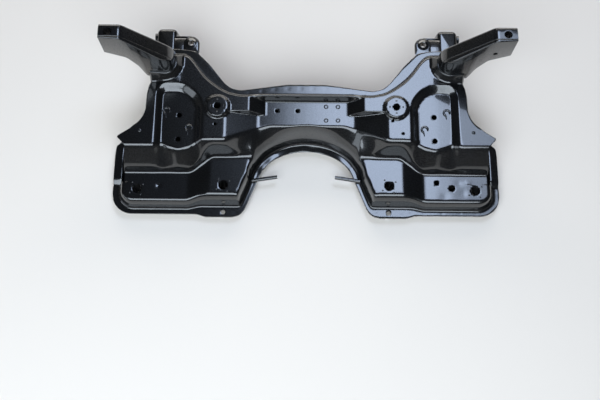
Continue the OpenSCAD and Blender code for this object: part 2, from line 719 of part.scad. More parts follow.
// Z section standing on the tray and carrying the floor of the D recess
brace_x = step_mid + 2;
brace_y = -13;
brace_turn = 38;
module brace(s) {
    h = recess_z - sheet - tray_z - 2 * seam;
    color(bare) on_side(s) translate([brace_x, brace_y, tray_z + seam]) rotate([0, 0, brace_turn])
        translate([-brace_len / 2, 0, 0]) {
            translate([0, -sheet / 2, 0]) cube([brace_len, sheet, h]);
            translate([0, -brace_w, h - sheet]) cube([brace_len, brace_w, sheet]);
            cube([brace_len, brace_w, sheet]);
        }
}

upper_shell();
lower_shell();
horn_front_half(-1);  // left_horn_front
horn_front_half(1);  // right_horn_front
horn_rear_half(-1);  // left_horn_rear
horn_rear_half(1);  // right_horn_rear
horn_sleeve(-1);  // left_horn_sleeve
horn_sleeve(1);  // right_horn_sleeve
front_bracket(-1);  // left_front_bracket
front_bracket(1);  // right_front_bracket
lug(-1);  // left_lug
lug(1);  // right_lug
bracket_nut(-1);  // left_bracket_nut
bracket_nut(1);  // right_bracket_nut
rack_sleeve(-1);  // left_rack_sleeve
rack_sleeve(1);  // right_rack_sleeve
bolt_sleeve(-1, outer_x, outer_y, lobe_z);  // left_outer_sleeve
bolt_sleeve(1, outer_x, outer_y, lobe_z);  // right_outer_sleeve
bolt_sleeve(-1, inner_x, inner_y, pad_z);  // left_inner_sleeve
bolt_sleeve(1, inner_x, inner_y, pad_z);  // right_inner_sleeve
hanger(-1);  // left_hanger
hanger(1);  // right_hanger
plate_nuts();
brace(-1);  // left_brace
brace(1);  // right_brace
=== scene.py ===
import math

import bmesh
import bpy
import numpy as np
from mathutils import Matrix, Vector


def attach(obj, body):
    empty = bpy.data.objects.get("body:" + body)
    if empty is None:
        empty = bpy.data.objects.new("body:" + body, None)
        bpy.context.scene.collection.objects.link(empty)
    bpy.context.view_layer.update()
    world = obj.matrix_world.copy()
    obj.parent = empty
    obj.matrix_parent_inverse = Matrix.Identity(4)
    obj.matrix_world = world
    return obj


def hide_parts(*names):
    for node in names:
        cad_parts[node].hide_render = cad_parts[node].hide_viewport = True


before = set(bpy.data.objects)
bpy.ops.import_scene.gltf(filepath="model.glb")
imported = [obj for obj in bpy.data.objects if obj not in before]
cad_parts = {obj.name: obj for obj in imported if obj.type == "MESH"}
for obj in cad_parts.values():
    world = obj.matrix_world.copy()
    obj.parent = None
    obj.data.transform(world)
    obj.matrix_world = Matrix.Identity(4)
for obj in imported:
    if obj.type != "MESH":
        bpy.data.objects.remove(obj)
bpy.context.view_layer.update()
print("stage: frame loaded")

# Small helpers; lengths are millimetres until a mesh is finished
mm = 0.001


def ramp(a, b, v):
    return np.clip((v - a) / (b - a), 0.0, 1.0)


def mix(a, b, k):
    return a + (b - a) * k


def gauss(sigma, step):
    half = int(4 * sigma / step) + 1
    kernel = np.exp(-0.5 * (np.arange(-half, half + 1) * step / sigma) ** 2)
    return half, kernel / kernel.sum()


def smoothTable(points, sigma):
    # An outline from a few points, rounded over that many millimetres
    step = 0.5
    grid = np.arange(-490, 490, step)
    xs, ys = zip(*points)
    raw = np.interp(grid, xs, ys)
    half, kernel = gauss(sigma, step)
    soft = np.convolve(np.pad(raw, half, mode="edge"), kernel, mode="valid")
    return lambda v: np.interp(v, grid, soft)


def linear(hexCode):
    values = [int(hexCode[i:i + 2], 16) / 255 for i in (1, 3, 5)]
    return [v / 12.92 if v <= 0.04045 else ((v + 0.055) / 1.055) ** 2.4 for v in values] + [1.0]


def addNode(tree, kind, links=(), **settings):
    node = tree.nodes.new(kind)
    for name, value in settings.items():
        if name in node.inputs:
            node.inputs[name].default_value = value
        else:
            setattr(node, name, value)
    for source, target in links:
        tree.links.new(source, node.inputs[target])
    return node


# Black cathodic dip coat on pressed steel: a deep gloss with a faint orange peel,
# dust that dulls it in clouds about 70 mm across, and specks about 1 mm across
def dipCoat(name, deep, dusty, rough, peel):
    material = bpy.data.materials.new(name)
    material.use_nodes = True
    tree = material.node_tree
    shader = tree.nodes["Principled BSDF"]
    fixed = {"Metallic": 0.0, "IOR": 1.5, "Specular IOR Level": 0.35, "Coat Weight": 1.0,
             "Coat Roughness": rough * 0.3, "Coat IOR": 1.55}
    for socket, value in fixed.items():
        shader.inputs[socket].default_value = value
    place = addNode(tree, "ShaderNodeTexCoord").outputs["Object"]
    cloud = addNode(tree, "ShaderNodeTexNoise", [(place, "Vector")], Scale=14.0, Detail=3.0, Roughness=0.55)
    specks = addNode(tree, "ShaderNodeTexNoise", [(place, "Vector")], Scale=900.0, Detail=2.0, Roughness=0.6)
    waves = addNode(tree, "ShaderNodeTexNoise", [(place, "Vector")], Scale=190.0, Detail=1.5, Roughness=0.45)
    tone = addNode(tree, "ShaderNodeValToRGB", [(cloud.outputs["Fac"], "Fac")])
    for element, spot, color in zip(tone.color_ramp.elements, (0.35, 0.75), (deep, dusty)):
        element.position = spot
        element.color = linear(color)
    sheen = addNode(tree, "ShaderNodeMapRange", [(specks.outputs["Fac"], "Value")])
    spread = {"From Min": 0.35, "From Max": 0.75, "To Min": rough, "To Max": rough + 0.14}
    for socket, value in spread.items():
        sheen.inputs[socket].default_value = value
    bump = addNode(tree, "ShaderNodeBump", [(waves.outputs["Fac"], "Height")], Strength=peel, Distance=0.0004)
    tree.links.new(tone.outputs["Color"], shader.inputs["Base Color"])
    tree.links.new(sheen.outputs["Result"], shader.inputs["Roughness"])
    tree.links.new(bump.outputs["Normal"], shader.inputs["Normal"])
    tree.links.new(bump.outputs["Normal"], shader.inputs["Coat Normal"])
    return material


glossCoat = dipCoat("gloss_black_dip_coat", "#08090A", "#0D0E11", 0.2, 0.04)
satinCoat = dipCoat("satin_black_dip_coat", "#0A0B0C", "#121417", 0.34, 0.07)
weldCoat = dipCoat("black_dip_coat_on_weld", "#0A0B0D", "#14161A", 0.26, 0.2)
print("stage: materials")


def finishPiece(obj, nodes, material):
    obj.data.materials.clear()
    obj.data.materials.append(material)
    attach(obj, "root")
    if nodes:
        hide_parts(*nodes)


def toObject(bm, name):
    # Millimetres to metres, then a linked object at the origin
    bmesh.ops.scale(bm, vec=(mm, mm, mm), verts=bm.verts[:])
    mesh = bpy.data.meshes.new(name)
    bm.to_mesh(mesh)
    bm.free()
    obj = bpy.data.objects.new(name, mesh)
    bpy.context.scene.collection.objects.link(obj)
    return obj


def bake(obj):
    graph = bpy.context.evaluated_depsgraph_get()
    obj.data = bpy.data.meshes.new_from_object(obj.evaluated_get(graph))
    obj.modifiers.clear()


def thicken(obj, sheet, rounding, angle):
    wall = obj.modifiers.new("sheet", "SOLIDIFY")
    wall.thickness = sheet * mm
    wall.offset = -1
    if rounding:
        edge = obj.modifiers.new("edge", "BEVEL")
        edge.width = rounding * mm
        edge.segments = 2
        edge.limit_method = "ANGLE"
        edge.angle_limit = math.radians(angle)
    bake(obj)


def smoothByAngle(obj, degrees, recalc=True):
    bm = bmesh.new()
    bm.from_mesh(obj.data)
    if recalc:
        bmesh.ops.recalc_face_normals(bm, faces=bm.faces)
    for f in bm.faces:
        f.smooth = True
    for e in bm.edges:
        e.smooth = len(e.link_faces) != 2 or e.calc_face_angle(0) < math.radians(degrees)
    bm.to_mesh(obj.data)
    bm.free()


def drillPiece(obj, at, axis, radius, length):
    bm = bmesh.new()
    turn = Vector((0, 0, 1)).rotation_difference(Vector(axis)).to_matrix().to_4x4()
    bmesh.ops.create_cone(bm, cap_ends=True, segments=48, radius1=radius, radius2=radius, depth=length,
                          matrix=Matrix.Translation(at) @ turn)
    cutter = toObject(bm, "cutter")
    hole = obj.modifiers.new("hole", "BOOLEAN")
    hole.object = cutter
    hole.solver = "EXACT"
    bake(obj)
    bpy.data.objects.remove(cutter)


# Sizes of the two pressed shells, most of them the solids' own; a pair is where a change starts and ends
s = {
    "sheet": 2.5, "seam": 0.1, "flangeZ": 20, "lobeZ": 48, "padZ": 62, "topZ": 115,
    "stripDrop": 4, "recessDepth": 13, "plateDepth": 20, "collarRise": 21, "frontDrop": 3,
    "lobeHalf": 413, "rearReach": 193, "rearBulge": 6, "cornerR": 43, "rearFlange": 14,
    "sideFlange": 17, "mouthY": -133, "mouthX": 384, "padFront": -75, "padToLobe": (205, 247),
    "lobeFront": -108, "archHalf": 105, "archRise": 81, "archY": -130, "archFlange": 18,
    "flankFlange": 15, "archMouth": 132, "plateRear": -22, "plateFront": 33.5, "beadY": 39.5,
    "plateHalf": 87.5, "plateRim": 119.5, "creaseY": 3, "flatRear": -60, "stripRear": -71.5,
    "recessRear": -78.5, "recessIn": 217.5, "recessOut": 317.5, "recessFront": 66.5,
    "recessR": 60, "recessR2": 25, "recessRun": 14, "stripHalf": 340, "tipHalf": 393.5,
    "skirt": 12, "collarX": 262, "collarY": 71.5, "collarFront": 131, "collarRun": 14,
    "collarR": 40, "collarSide": 331, "bossX": 186.5, "bossY": 12.5, "bossR": 22.5, "bossRun": 4,
    "bossH": 7, "bossBore": 7.0, "waist": (170, 102), "creaseHalf": 0.4, "stripLean": 0.9,
    "skirtRun": (3.2, -0.5), "frontRun": 2.5, "archLean": 0.21, "archLeanX": (75, 35),
    # Slopes of the walls: overall, in the arch, and the easy top and steep foot of each wall
    "wallSlope": 3.5, "archSlope": 8.5, "archBlend": (108, 150), "easyWall": 1.4, "easyShare": 0.85,
    "steepWall": 7, "lobeFoot": 12,
    # Rounding of the bends across X and Y: top, walls, pad fronts; then where each gives way to the next
    "bends": [(0.65, 0.9), (2.4, 2.4), (3.8, 3.8)], "topFade": (14, 4), "padFade": (20, 8),
    "padMiddle": 4, "padInner": (96, 112), "padOuter": (232, 214),
    # Fineness of the mesh
    "splitX": 300, "meshStep": 0.26, "meshPasses": 2, "holeSides": 40, "holeMargin": 1.2,
    "edgeRound": 0.7, "sharp": 60,
}
# Bolt places on both sides with their radii: rack, outer, inner and flange
bolts = [(s["bossX"], s["bossY"], s["bossBore"]), (357, -146, 10.0), (174, -141.5, 10.0), (176, -188.5, 5.0)]
rearEnd = -s["rearReach"] - s["rearBulge"]
cornerX = s["lobeHalf"] - s["cornerR"]
cornerCy = s["cornerR"] - s["rearReach"]
bendSide = s["lobeHalf"] - s["sideFlange"]
bendR = s["cornerR"] - s["rearFlange"] + 2
bendCx = bendSide - bendR
rearBend = s["rearFlange"] - s["rearReach"]
padBend = rearBend + s["rearBulge"]
bendA = s["archHalf"] + s["flankFlange"]
bendB = s["archRise"] + s["archFlange"]


def ellipseY(x, a, b):
    return s["archY"] + b * np.sqrt(np.clip(1 - (x / a) ** 2, 0, None))


def cornerY(x, cx, cy, r):
    return cy - np.sqrt(np.clip(r * r - np.clip(x - cx, 0, None) ** 2, 0, None))


flareX = 0.98 * s["archHalf"]
flareY = float(ellipseY(flareX, s["archHalf"], s["archRise"]))
flare = smoothTable([(60, flareY + 100), (flareX, flareY), (s["archMouth"], rearEnd + 13),
                     (s["archMouth"] + 10, rearEnd + 4), (156, rearEnd), (214, rearEnd),
                     (232, -s["rearReach"]), (420, -s["rearReach"])], 2.5)
bendFlareX = 0.995 * bendA
bendFlareY = float(ellipseY(bendFlareX, bendA, bendB))
bendRear = smoothTable([(110, bendFlareY + 18), (bendFlareX, bendFlareY), (140, padBend),
                        (226, padBend), (250, rearBend), (420, rearBend)], 2.5)


def edgeY(x):
    y = np.where(x < flareX, ellipseY(x, s["archHalf"], s["archRise"]), flare(x))
    return np.where(x < cornerX, y, cornerY(x, cornerX, cornerCy, s["cornerR"]))


def bendY(x):
    y = np.where(x < bendFlareX, ellipseY(x, bendA, bendB), bendRear(x))
    return np.where(x < bendCx, y,
                    cornerY(np.minimum(x, bendSide), bendCx, rearBend + bendR, bendR))


def bendCos(x):
    return 1 / np.sqrt(1 + ((bendY(x + 1) - bendY(x - 1)) / 2) ** 2)


def level(x):
    return mix(s["padZ"], s["lobeZ"], ramp(*s["padToLobe"], x))


stepMid = (s["recessIn"] + s["recessOut"]) / 2
stepY = smoothTable([
    (-20, s["plateRear"]), (s["plateHalf"] - 8, s["plateRear"]), (108, s["plateRear"] - 8),
    (170, s["flatRear"]), (s["recessIn"], s["flatRear"]),
    (s["recessIn"] + s["recessRun"], mix(s["flatRear"], s["recessRear"], 0.2)),
    (stepMid - 24, mix(s["flatRear"], s["recessRear"], 0.66)), (stepMid, s["recessRear"]),
    (stepMid + 24, mix(s["stripRear"] + 7, s["recessRear"], 0.5)),
    (s["recessOut"] - s["recessRun"], s["stripRear"] + 7), (s["recessOut"], s["stripRear"]),
    (420, s["stripRear"])], 3.5)
plateauY = smoothTable([
    (-20, s["padFront"]), (200, s["padFront"]), (213, mix(s["padFront"], s["lobeFront"], 0.3)),
    (236, mix(s["padFront"], s["lobeFront"], 0.88)), (247, s["lobeFront"]),
    (420, s["lobeFront"])], 3.5)
frontBendY = smoothTable([
    (-20, s["beadY"]), (100, s["beadY"]), (120, s["beadY"] - 2), (140, s["beadY"] - 2),
    (165, 43), (185, 54), (207, 71), (222, 87), (245, 121), (257, s["collarFront"]),
    (420, s["collarFront"])], 4.0)
frontEdgeY = smoothTable([
    (-20, 65.5), (40, 65.5), (140, 51), (159, 55.5), (174, 67.5), (205, 108.5), (236, 141),
    (272, 146), (420, 146)], 4.0)
sideX = smoothTable([
    (-90, s["mouthX"] - 10), (s["stripRear"], s["mouthX"] - 8), (-53, s["tipHalf"]), (-37, 368.5),
    (-21, 352.5), (-7, 344.5), (8, s["stripHalf"]), (45, s["stripHalf"] - 1),
    (62, s["stripHalf"] - 4), (73, s["collarSide"]), (160, s["collarSide"])], 1.6)


def frontLineY(x):
    return np.maximum(plateauY(x), mix(bendY(x), stepY(x), 0.3))


def insideCorner(dx, dy, r):
    return np.where((dx > 0) & (dy > 0), r - np.hypot(dx, dy), r - np.maximum(dx, dy))


def recessD(x, y):
    return np.minimum(
        insideCorner(s["recessIn"] + s["recessR"] - x, y - s["recessFront"] + s["recessR"], s["recessR"]),
        insideCorner(x - s["recessOut"] + s["recessR2"], y - s["recessFront"] + s["recessR2"], s["recessR2"]))


def collarD(x, y):
    return np.minimum(
        insideCorner(s["collarX"] + s["collarR"] - x, s["collarY"] + s["collarR"] - y, s["collarR"]),
        s["collarFront"] - y)


def topHeight(x, y):
    strip = s["stripDrop"] * ramp(s["recessOut"] - 15, s["recessOut"], x)
    plate = mix(ramp(*s["waist"], x),
                ramp(s["plateRim"], s["plateHalf"], x) * ramp(s["beadY"], s["plateFront"], y),
                ramp(s["creaseY"] - s["creaseHalf"], s["creaseY"] + s["creaseHalf"], y))
    collar = ramp(0, s["collarRun"], collarD(x, y))
    recess = ramp(0, s["recessRun"], recessD(x, y)) * (1 - ramp(0, 4, collarD(x, y)))
    lean = s["stripLean"] * ramp(s["recessOut"], s["stripHalf"] + 4, x) * ramp(84, 70, y) * ramp(-5, 45, y)
    edge = s["skirt"] * ramp(*s["skirtRun"], sideX(y) - x) * ramp(-30, 8, y)
    boss = s["bossH"] * ramp(s["bossR"] + s["bossRun"], s["bossR"],
                             np.hypot(x - s["bossX"], y - s["bossY"]))
    return (s["topZ"] - strip - (s["recessDepth"] - strip) * recess - s["plateDepth"] * plate
            + (s["collarRise"] + strip) * collar - lean - edge + boss)


def droop(x, y):
    # The flange in the arch leans down to its edge
    return s["archLean"] * np.clip(bendY(x) - 1 - y, 0, 20) * ramp(*s["archLeanX"], x)


def lobeHeight(x, y):
    d = np.minimum((y - bendY(x)) * bendCos(x), bendSide - x)
    slope = mix(s["archSlope"], s["wallSlope"], ramp(*s["archBlend"], x))
    rise = level(x) - s["flangeZ"]
    wall = np.minimum(d * s["lobeFoot"], rise - s["easyWall"] * (rise / slope - d))
    return s["flangeZ"] - droop(x, y) + np.clip(wall, 0, rise)


def upperHeight(x, y):
    yf, ys, yb = frontLineY(x), stepY(x), frontBendY(x)
    # The wall leans at its top and stands up at its foot
    low, high = lobeHeight(x, yf), topHeight(x, ys)
    easy = np.minimum(s["easyWall"], s["easyShare"] * (high - low) / np.maximum(ys - yf, 1))
    wall = np.clip(np.minimum(high - easy * (ys - y), low + s["steepWall"] * (y - yf)), low, high)
    frontZ = s["topZ"] - s["frontDrop"]
    drop = mix(topHeight(x, np.minimum(y, yb)), frontZ, ramp(yb, yb + s["frontRun"], y))
    return np.where(y <= yf, lobeHeight(x, y), np.where(y < ys, wall, drop))


def pressedField(height, bends, details):
    # Heights on a 1 mm raster, rounded at the bends; marks that aren't on both sides come after
    xs, ys = np.arange(-16.0, 440.0), np.arange(-225.0, 176.0)
    gx, gy = np.meshgrid(xs, ys, indexing="ij")
    raw = height(np.abs(gx), gy)
    soft = []
    for sigmas in bends:
        z = raw
        for axis in (0, 1):
            half, kernel = gauss(sigmas[axis], 1.0)
            pad = [(half, half) if k == axis else (0, 0) for k in (0, 1)]
            wide = np.pad(z, pad, mode="edge")
            z = sum(k * np.take(wide, np.arange(i, i + z.shape[axis]), axis=axis)
                    for i, k in enumerate(kernel))
        soft.append(z)
    ax = np.abs(gx)
    grid = mix(soft[0], soft[1], ramp(*s["topFade"], gy - stepY(ax)))
    nearPad = ramp(*s["padFade"], np.abs(gy - plateauY(ax) - s["padMiddle"]))
    grid = mix(grid, soft[2], nearPad * ramp(*s["padOuter"], ax) * ramp(*s["padInner"], ax))

    def heightAt(x, y):
        u = np.clip(np.abs(x) - xs[0], 0, grid.shape[0] - 1.001)
        v = np.clip(y - ys[0], 0, grid.shape[1] - 1.001)
        i, j = u.astype(int), v.astype(int)
        a, b = u - i, v - j
        z = ((grid[i, j] * (1 - a) + grid[i + 1, j] * a) * (1 - b)
             + (grid[i, j + 1] * (1 - a) + grid[i + 1, j + 1] * a) * b)
        for dx, dy, r, h in details:
            z = z + h * np.exp(-((x - dx) ** 2 + (y - dy) ** 2) / (r * r))
        return z

    return heightAt


def keyRows(rows, steps):
    # Rows of the plan filled in between the key rows
    out = [rows[0]]
    for a, b, n in zip(rows[:-1], rows[1:], steps):
        out += [(mix(a[0], b[0], k / n), mix(a[1], b[1], k / n)) for k in range(1, n + 1)]
    return out


# Columns of the plan; those past splitX are spread out to the edge of each row
splitX = s["splitX"]
sideSpan = s["lobeHalf"] - splitX
columns = np.unique(np.concatenate([np.linspace(0, 90, 22), np.linspace(90, splitX, 62),
                                    np.linspace(splitX, s["lobeHalf"], 40)]))


def outline(half):
    return np.where(columns <= splitX, columns, splitX + (columns - splitX) * (half - splitX) / sideSpan)


def lobeRows(x):
    y0 = edgeY(x)
    y1 = np.maximum(bendY(x), y0 + 1)
    yf = frontLineY(x)
    run = (level(x) - s["flangeZ"]) / s["wallSlope"]
    y2 = np.minimum(np.maximum(y1 + run / bendCos(np.minimum(x, bendCx)), y1 + 1), mix(y1, yf, 0.9))
    ym = np.where(x > s["padToLobe"][1], s["mouthY"], mix(y2, yf, 0.6))
    y2 = np.minimum(y2, ym - 4)
    return [y0, y1, y2, ym, mix(ym, yf, 0.06), yf]


def upperPlan():
    rear, mouth = outline(s["lobeHalf"]), outline(s["mouthX"])
    rows = [(rear, y) for y in lobeRows(rear)[:4]] + [(mouth, y) for y in lobeRows(mouth)[4:]]
    plan = keyRows(rows, [7, 6, 10, 1, 10])
    tip = outline(s["mouthX"] - 8)
    plan += keyRows([rows[-1], (tip, stepY(tip))], [12])[1:]
    for k in np.linspace(0, 1, 60)[1:]:
        x = outline(float(sideX(mix(s["stripRear"], s["collarFront"], k))))
        plan.append((x, mix(stepY(x), frontBendY(x), k)))
    x = outline(s["collarSide"])
    return plan + keyRows([plan[-1], (x, frontBendY(x) + 4), (x, frontEdgeY(x))], [3, 5])[1:]


def pressedSheet(name, plan, heightAt, holes):
    half = np.array(plan)
    px = np.concatenate([-half[:, 0, :0:-1], half[:, 0]], axis=1)
    py = np.concatenate([half[:, 1, :0:-1], half[:, 1]], axis=1)
    rowsN, colsN = px.shape
    bm = bmesh.new()
    bmesh.ops.create_grid(bm, x_segments=colsN - 1, y_segments=rowsN - 1, size=0.5)
    order = sorted(bm.verts, key=lambda v: (round(v.co.y, 6), v.co.x))
    for v, x, y in zip(order, px.ravel(), py.ravel()):
        v.co = (x, y, 0)
    # Holes: the grid is opened and filled back to a true circle
    for cx, cy, r in holes:
        near = r + s["holeMargin"]
        inside = {f for f in bm.faces if any(math.hypot(v.co.x - cx, v.co.y - cy) < near for v in f.verts)}
        rim = [e for e in {e for f in inside for e in f.edges} if any(f not in inside for f in e.link_faces)]
        bmesh.ops.delete(bm, geom=list(inside), context="FACES")
        ring = bmesh.ops.create_circle(bm, segments=s["holeSides"], radius=r,
                                       matrix=Matrix.Translation((cx, cy, 0)))["verts"]
        loop = list({e for v in ring for e in v.link_edges})
        bmesh.ops.triangle_fill(bm, use_beauty=True, edges=rim + loop, normal=(0, 0, 1))
    # Finer where the pressing bends
    for _ in range(s["meshPasses"]):
        spots = np.array([v.co[:2] for v in bm.verts])
        bm.verts.index_update()
        z = heightAt(spots[:, 0], spots[:, 1])
        faces = bm.faces[:]
        middle = np.array([f.calc_center_median()[:2] for f in faces])
        rough = heightAt(middle[:, 0], middle[:, 1]) - [np.mean([z[v.index] for v in f.verts]) for f in faces]
        pick = {e for f, d in zip(faces, rough) if abs(d) > s["meshStep"] for e in f.edges}
        bmesh.ops.subdivide_edges(bm, edges=list(pick), cuts=1, use_grid_fill=True)
    bm.normal_update()
    bmesh.ops.reverse_faces(bm, faces=[f for f in bm.faces if f.normal.z < 0])
    spots = np.array([v.co[:2] for v in bm.verts])
    for v, z in zip(bm.verts, heightAt(spots[:, 0], spots[:, 1])):
        v.co.z = z
    obj = toObject(bm, name)
    thicken(obj, s["sheet"], s["edgeRound"], s["sharp"])
    smoothByAngle(obj, s["sharp"], recalc=False)
    print("piece", name, sum(len(p.vertices) - 2 for p in obj.data.polygons), "triangles")
    return obj


# Upper shell: the pressing that shows, with its bolt, drain and jig holes
upper = {
    "pairs": bolts + [(267, -2, 5.5), (267, -55.5, 5.5)],
    "single": [(-63, 13, 4.5), (-20, 13, 4.5), (179, -16, 3.25), (200, -44, 3.25), (-190, -26, 3.25),
               (308, -141, 7.0), (276, -129, 5.5)],
    "dents": [(330, -152, 9, -0.45), (343, -128, 7, 0.3), (322, -131, 6, -0.3), (292, -160, 9, -0.3),
              (-311, -139, 4.5, -1.6), (-8, -42, 9, 0.8), (14, -45, 7, -0.7), (-30, -46, 8, 0.5),
              (-95, -88, 7, 0.7), (-104, -105, 6, -0.6), (98, -92, 7, 0.6)],
    "spotWeld": (2.6, -0.28), "rearSpots": [150, 204, 222, 252, 290, 328, 362], "rearIn": 6,
    "frontSpots": [13, 40, 67, 94, 121, 152], "frontIn": 8,
    "looseSpots": [(404.5, -160), (405, -140), (176, 61), (190, 79), (206, 98), (222, 118)],
}
welded = [(x, float(edgeY(x)) + upper["rearIn"]) for x in upper["rearSpots"]] + upper["looseSpots"]
welded += [(x, float(frontEdgeY(x)) - upper["frontIn"]) for x in upper["frontSpots"]]
upperDetails = upper["dents"] + [(k * x, y) + upper["spotWeld"] for x, y in welded for k in (-1, 1)]
upperZ = pressedField(upperHeight, s["bends"], upperDetails)
upperHoles = [(k * x, y, r) for x, y, r in upper["pairs"] for k in (-1, 1)] + upper["single"]
upperShell = pressedSheet("upper_shell_pressing", upperPlan(), upperZ, upperHoles)
finishPiece(upperShell, ["upper_shell"], glossCoat)
print("stage: upper shell")

# Lower shell: the tray with its rear flange, side lips and front wall
lower = {
    "inset": 7, "trayRun": 8, "lipRun": 10, "footIn": 8, "wallTop": 4.5, "lipRise": 8, "lipLean": 3,
    "bends": [(1.6, 1.6)] * 3,
}
lowerFlangeZ = s["flangeZ"] - s["sheet"] - s["seam"]
lowerFrontZ = s["topZ"] - s["frontDrop"] - s["sheet"] - s["seam"]
lowerSideX = smoothTable([
    (-200, s["lobeHalf"]), (-60, s["lobeHalf"]), (-41, s["lobeHalf"] - 2), (-30, s["lobeHalf"] - 17),
    (-10, s["stripHalf"] + 8), (4, s["stripHalf"] - lower["inset"]),
    (62, s["stripHalf"] - lower["inset"] - 4), (73, s["collarSide"] - lower["inset"]),
    (160, s["collarSide"] - lower["inset"])], 1.6)


def lowerHeight(x, y):
    half = lowerSideX(y)
    xb = np.where(x < splitX, x, splitX + (x - splitX) * sideSpan / (half - splitX))
    rise = lower["lipRise"] * ramp(s["mouthY"] + 4, s["mouthY"] + 15, y)
    atMouth = ramp(s["mouthY"], s["mouthY"] + 12, y)
    lean = lower["lipLean"] * ramp(s["mouthX"] + lower["lipRun"], s["lobeHalf"], xb) * atMouth
    sideZ = mix(lowerFlangeZ + rise - lean, s["topZ"] - s["stripDrop"] - s["sheet"] - 3, ramp(-35, 5, y))
    lip = mix(s["sheet"], sideZ, ramp(s["mouthX"], s["mouthX"] + lower["lipRun"], xb))
    run = lower["trayRun"] / bendCos(np.minimum(x, bendCx))
    rear = mix(s["sheet"], lowerFlangeZ - droop(x, y), ramp(bendY(x) + run, bendY(x), y))
    yb = frontBendY(x)
    return mix(np.maximum(lip, rear), lowerFrontZ,
               ramp(yb - lower["footIn"], yb + lower["wallTop"], y))


def lowerPlan():
    wide = outline(s["lobeHalf"])
    y0, y1 = lobeRows(wide)[:2]
    ya = y1 + lower["trayRun"] / bendCos(np.minimum(wide, bendCx))
    ya = np.where(wide > bendCx, np.minimum(ya, cornerCy + 6), ya)
    plan = keyRows([(wide, y0), (wide, y1), (wide, ya)], [10, 6])
    for k in np.linspace(0, 1, 56)[1:]:
        yOut = mix(cornerCy + 6, s["collarFront"] - lower["footIn"], k)
        x = outline(float(lowerSideX(yOut)))
        base = np.interp(x, wide, ya)
        plan.append((x, mix(base, frontBendY(x) - lower["footIn"], k)))
    x = outline(s["collarSide"] - lower["inset"])
    front = [plan[-1], (x, frontBendY(x) + lower["wallTop"]), (x, frontEdgeY(x))]
    return plan + keyRows(front, [14, 6])[1:]


lowerZ = pressedField(lowerHeight, lower["bends"], [])
lowerHoles = [(k * x, y, r) for x, y, r in bolts for k in (-1, 1)]
lowerShell = pressedSheet("lower_shell_pressing", lowerPlan(), lowerZ, lowerHoles)
finishPiece(lowerShell, ["lower_shell"], glossCoat)
print("stage: lower shell")

# Horns: a rear and a front half with rounded edges, extruded section by section along X
horn = {
    "tip": 407, "foot": 274, "front": 117, "seamY": 90, "round": 24, "edge": 5.5, "groove": 1.3,
    "footZ": 136.1, "bolt": (388, 100, 225), "boltR": 8.0, "boltLength": 150, "rearFrom": 300,
    "rearRoot": 79, "rearTip": 87, "kneeX": 331.5, "kneeZ": 113, "seamGap": 0.15, "tipRound": 0.8,
    "thinnest": 1.5, "vent": (373, 86, 223.5), "ventR": 4.5, "ventLength": 12, "sharp": 42,
    "shoulder": [(274, 158), (274, 174), (281, 184), (290, 193.5)],
}
hornTop = smoothTable([(280, 182), (288, 191.4), (365, 274), (460, 274)], 3.2)
hornLow = smoothTable([(300, 90), (336.7, 113), (346, 156), (365, 192), (407, 211), (450, 231)], 2.2)


def hornTopZ(x):
    # The shoulder above the foot is a short curve that turns into the sloping top
    t = np.linspace(0, 1, 60)
    weights = [(1 - t) ** 3, 3 * t * (1 - t) ** 2, 3 * t ** 2 * (1 - t), t ** 3]
    curveX, curveZ = [sum(w * point[k] for w, point in zip(weights, horn["shoulder"])) for k in (0, 1)]
    return float(np.interp(x, curveX, curveZ)) if x < curveX[-1] else float(hornTop(x))


def hornRearY(x):
    dx = max(horn["foot"] + horn["round"] - x, 0)
    along = (x - horn["rearFrom"]) / (horn["tip"] - horn["rearFrom"])
    face = mix(horn["rearRoot"], horn["rearTip"], along)
    return face + horn["round"] - math.sqrt(max(horn["round"] ** 2 - dx * dx, 0))


def roundedRing(y0, y1, z0, z1, radii):
    # Corners in order: rear top, front top, front low, rear low
    ring = []
    spots = [(y0, z1, 1, -1, 90), (y1, z1, -1, -1, 0), (y1, z0, -1, 1, -90), (y0, z0, 1, 1, -180)]
    for (y, z, sy, sz, start), r in zip(spots, radii):
        r = min(r, (y1 - y0) * 0.48, (z1 - z0) * 0.48)
        for k in range(6):
            t = math.radians(start + 90 - 18 * k)
            ring.append((y + sy * r + r * math.cos(t), z + sz * r + r * math.sin(t)))
    return ring


def hornSections(side, rearHalf):
    # Close together round the foot, with a step down at the knee and a rounded tip
    knee, tip, e, g = horn["kneeX"], horn["tip"], horn["edge"], horn["groove"]
    xs = np.concatenate([horn["foot"] + horn["round"] * np.linspace(0, 1, 26) ** 2,
                         np.linspace(horn["foot"] + horn["round"] + 1, knee - 0.1, 12), [knee],
                         np.linspace(knee + 0.4, tip - 0.7, 44), [tip]])
    for x in xs:
        rearY = hornRearY(x)
        z1 = hornTopZ(x)
        z0 = horn["footZ"] if x <= knee else max(float(hornLow(x)), horn["kneeZ"])
        if rearHalf:
            if rearY > horn["seamY"] - horn["thinnest"]:
                continue
            y0, y1 = rearY, horn["seamY"]
            tight = min(e, y1 - y0 - 0.5)
            radii = (tight, g, g, tight)
        else:
            y0, y1 = max(rearY, horn["seamY"] + horn["seamGap"]), horn["front"]
            free = mix(g, e, float(ramp(0, 3, rearY - horn["seamY"])))
            radii = (free, e, e, free)
        shrink = horn["tipRound"] if x == tip else 0
        ring = roundedRing(y0 + shrink, y1 - shrink, z0 + shrink, z1 - shrink, radii)
        yield [(side * x, y, z) for y, z in ring]


